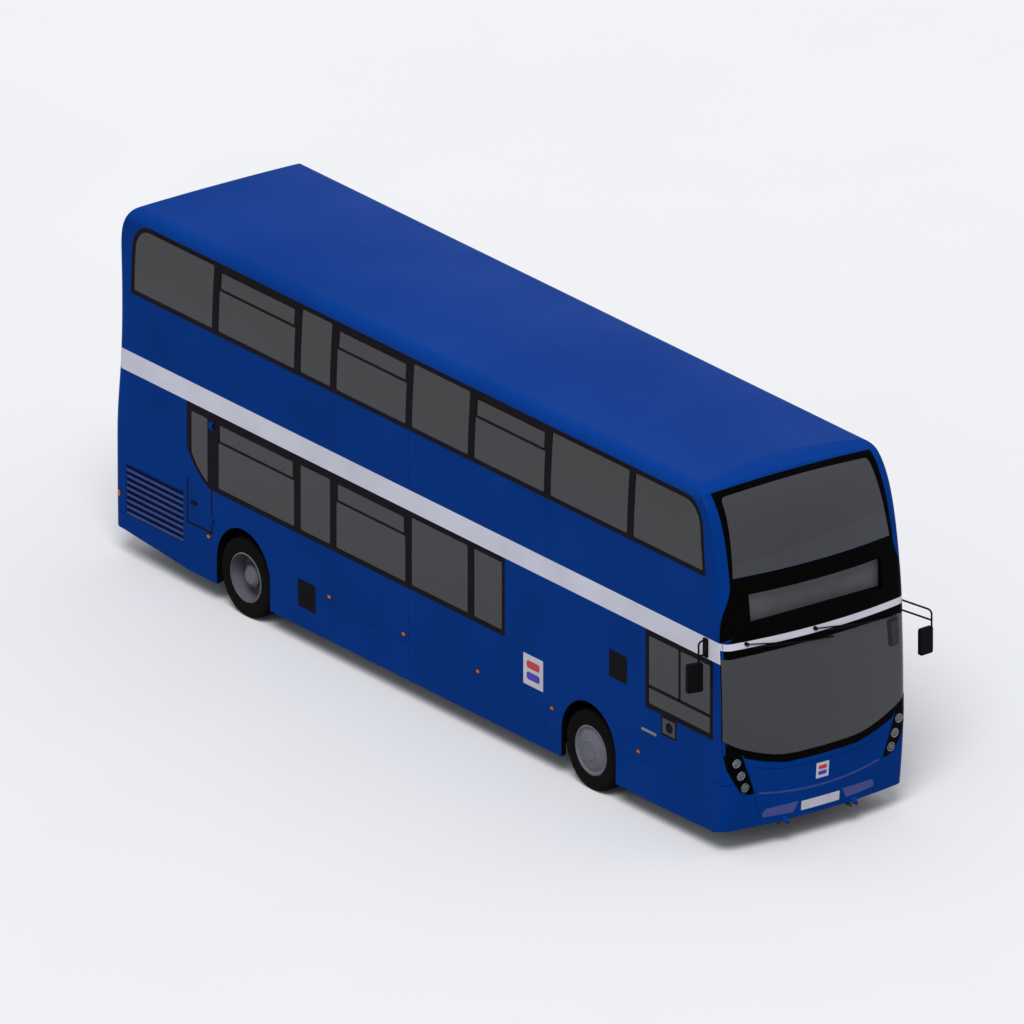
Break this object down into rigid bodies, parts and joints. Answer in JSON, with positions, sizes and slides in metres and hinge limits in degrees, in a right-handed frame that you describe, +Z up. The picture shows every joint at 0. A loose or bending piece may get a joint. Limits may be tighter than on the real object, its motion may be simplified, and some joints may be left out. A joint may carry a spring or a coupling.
{
  "type": "double-decker bus",
  "caption": "Two-axle double-decker bus with twin rear wheels, steered front wheels, a forward entrance door, a rear emergency door and lidded engine bay.",
  "frame": {"origin": "on the ground, on the centreline, halfway along the overall length", "axes": "+X forward, +Y towards the nearside (left, the entrance side), +Z up"},
  "size_m": [11.8446, 3.0022, 4.34],
  "materials": {
    "body_blue": "satin",
    "upper_blue": "satin",
    "roof_blue": "satin",
    "mask_black": "gloss",
    "trim_black": "matte",
    "trim_dark": "matte",
    "trim_panel": "matte",
    "chassis_black": "matte",
    "axle_iron": "matte",
    "engine_iron": "matte",
    "spring_rubber": "matte",
    "tyre_black": "matte",
    "rim_grey": "satin",
    "steel_satin": "satin",
    "tinted_glass": "gloss",
    "display_face": "satin",
    "seat_fabric": "matte",
    "floor_vinyl": "matte",
    "rail_yellow": "satin",
    "grille_blue": "satin",
    "lamp_clear": "gloss",
    "lamp_red": "gloss"
  },
  "bodies": {
    "body": {"air_springs": "spring_rubber", "cab_partition": "trim_panel", "chassis_frame": "chassis_black", "dashboard": "trim_dark", "destination_display": "display_face", "door_mirrors": "trim_black", "driver_seat": "seat_fabric", "engine_block": "engine_iron", "front_axle_beam": "axle_iron", "front_lower_panel": "body_blue", "front_upper_panel": "mask_black", "handrails": "rail_yellow", "headlamps": "lamp_clear", "lower_floor": "floor_vinyl", "lower_nearside_panel": "body_blue", "lower_offside_panel": "body_blue", "lower_seats": "seat_fabric", "lower_side_glass": "tinted_glass", "radiator_grille": "grille_blue", "rear_axle": "axle_iron", "rear_lower_panel": "body_blue", "rear_platform": "floor_vinyl", "rear_upper_panel": "body_blue", "roof": "roof_blue", "stairs": "floor_vinyl", "steering_wheel": "trim_dark", "tail_lamps": "lamp_red", "upper_floor": "floor_vinyl", "upper_nearside_panel": "upper_blue", "upper_offside_panel": "upper_blue", "upper_seats": "seat_fabric", "upper_side_glass": "tinted_glass", "wheel_boxes": "trim_panel", "windscreens_and_rear_window": "tinted_glass", "wipers": "trim_black"},
    "front_nearside_wheel": {"front_nearside_rim": "rim_grey", "front_nearside_tyre": "tyre_black"},
    "front_offside_wheel": {"front_offside_rim": "rim_grey", "front_offside_tyre": "tyre_black"},
    "rear_nearside_wheel": {"rear_nearside_rim": "rim_grey", "rear_nearside_tyres": "tyre_black"},
    "rear_offside_wheel": {"rear_offside_rim": "rim_grey", "rear_offside_tyres": "tyre_black"},
    "nearside_knuckle": {"nearside_knuckle": "axle_iron"},
    "offside_knuckle": {"offside_knuckle": "axle_iron"},
    "tie_rod": {"tie_rod": "axle_iron"},
    "entrance_front_arm": {"entrance_front_arms": "steel_satin"},
    "entrance_rear_arm": {"entrance_rear_arms": "steel_satin"},
    "entrance_front_door": {"entrance_front_leaf": "body_blue", "entrance_front_glass": "tinted_glass"},
    "entrance_rear_door": {"entrance_rear_leaf": "body_blue", "entrance_rear_glass": "tinted_glass"},
    "emergency_door": {"emergency_door": "body_blue", "emergency_door_glass": "tinted_glass"},
    "engine_cover": {"engine_cover": "body_blue"},
    "front_hatch": {"front_hatch": "body_blue"}
  },
  "joints": [
    {"name": "nearside_steering", "type": "hinge", "parent": "body", "child": "nearside_knuckle", "pos_m": [3.11, 0.95, 0.478], "axis": [0, 0, 1], "range_deg": [-45, 45]},
    {"name": "offside_steering", "type": "hinge", "parent": "body", "child": "offside_knuckle", "pos_m": [3.11, -0.95, 0.478], "axis": [0, 0, 1], "range_deg": [-45, 45]},
    {"name": "tie_rod_pivot", "type": "hinge", "parent": "nearside_knuckle", "child": "tie_rod", "pos_m": [2.91, 0.95, 0.222], "axis": [0, 0, 1], "range_deg": [-45, 45]},
    {"name": "front_nearside_spin", "type": "hinge", "parent": "nearside_knuckle", "child": "front_nearside_wheel", "pos_m": [3.11, 1.1125, 0.478], "axis": [0, 1, 0], "continuous": true},
    {"name": "front_offside_spin", "type": "hinge", "parent": "offside_knuckle", "child": "front_offside_wheel", "pos_m": [3.11, -1.1125, 0.478], "axis": [0, 1, 0], "continuous": true},
    {"name": "rear_nearside_spin", "type": "hinge", "parent": "body", "child": "rear_nearside_wheel", "pos_m": [-3.39, 1.1125, 0.478], "axis": [0, 1, 0], "continuous": true},
    {"name": "rear_offside_spin", "type": "hinge", "parent": "body", "child": "rear_offside_wheel", "pos_m": [-3.39, -1.1125, 0.478], "axis": [0, 1, 0], "continuous": true},
    {"name": "entrance_front_arm_swing", "type": "hinge", "parent": "body", "child": "entrance_front_arm", "pos_m": [5.32, 1.245, 1.33], "axis": [0, 0, 1], "range_deg": [0, 90]},
    {"name": "entrance_front_leaf_turn", "type": "hinge", "parent": "entrance_front_arm", "child": "entrance_front_door", "pos_m": [5.033, 1.245, 1.33], "axis": [0, 0, 1], "range_deg": [-180, 0]},
    {"name": "entrance_rear_arm_swing", "type": "hinge", "parent": "body", "child": "entrance_rear_arm", "pos_m": [4.16, 1.245, 1.33], "axis": [0, 0, -1], "range_deg": [0, 90]},
    {"name": "entrance_rear_leaf_turn", "type": "hinge", "parent": "entrance_rear_arm", "child": "entrance_rear_door", "pos_m": [4.447, 1.245, 1.33], "axis": [0, 0, -1], "range_deg": [-180, 0]},
    {"name": "emergency_door_hinge", "type": "hinge", "parent": "body", "child": "emergency_door", "pos_m": [-3.975, -1.287, 1.56], "axis": [0, 0, 1], "range_deg": [0, 100]},
    {"name": "engine_cover_hinge", "type": "hinge", "parent": "body", "child": "engine_cover", "pos_m": [-5.922, 0, 1.64], "axis": [0, 1, 0], "range_deg": [0, 80]},
    {"name": "front_hatch_hinge", "type": "hinge", "parent": "body", "child": "front_hatch", "pos_m": [5.73, 0, 0.284], "axis": [0, 1, 0], "range_deg": [0, 95]}
  ],
  "couplings": [
    {"joint": "offside_steering", "follows": "nearside_steering", "ratio": 1},
    {"joint": "tie_rod_pivot", "follows": "nearside_steering", "ratio": -1},
    {"joint": "entrance_front_leaf_turn", "follows": "entrance_front_arm_swing", "ratio": -2},
    {"joint": "entrance_rear_arm_swing", "follows": "entrance_front_arm_swing", "ratio": 1},
    {"joint": "entrance_rear_leaf_turn", "follows": "entrance_front_arm_swing", "ratio": -2}
  ]
}
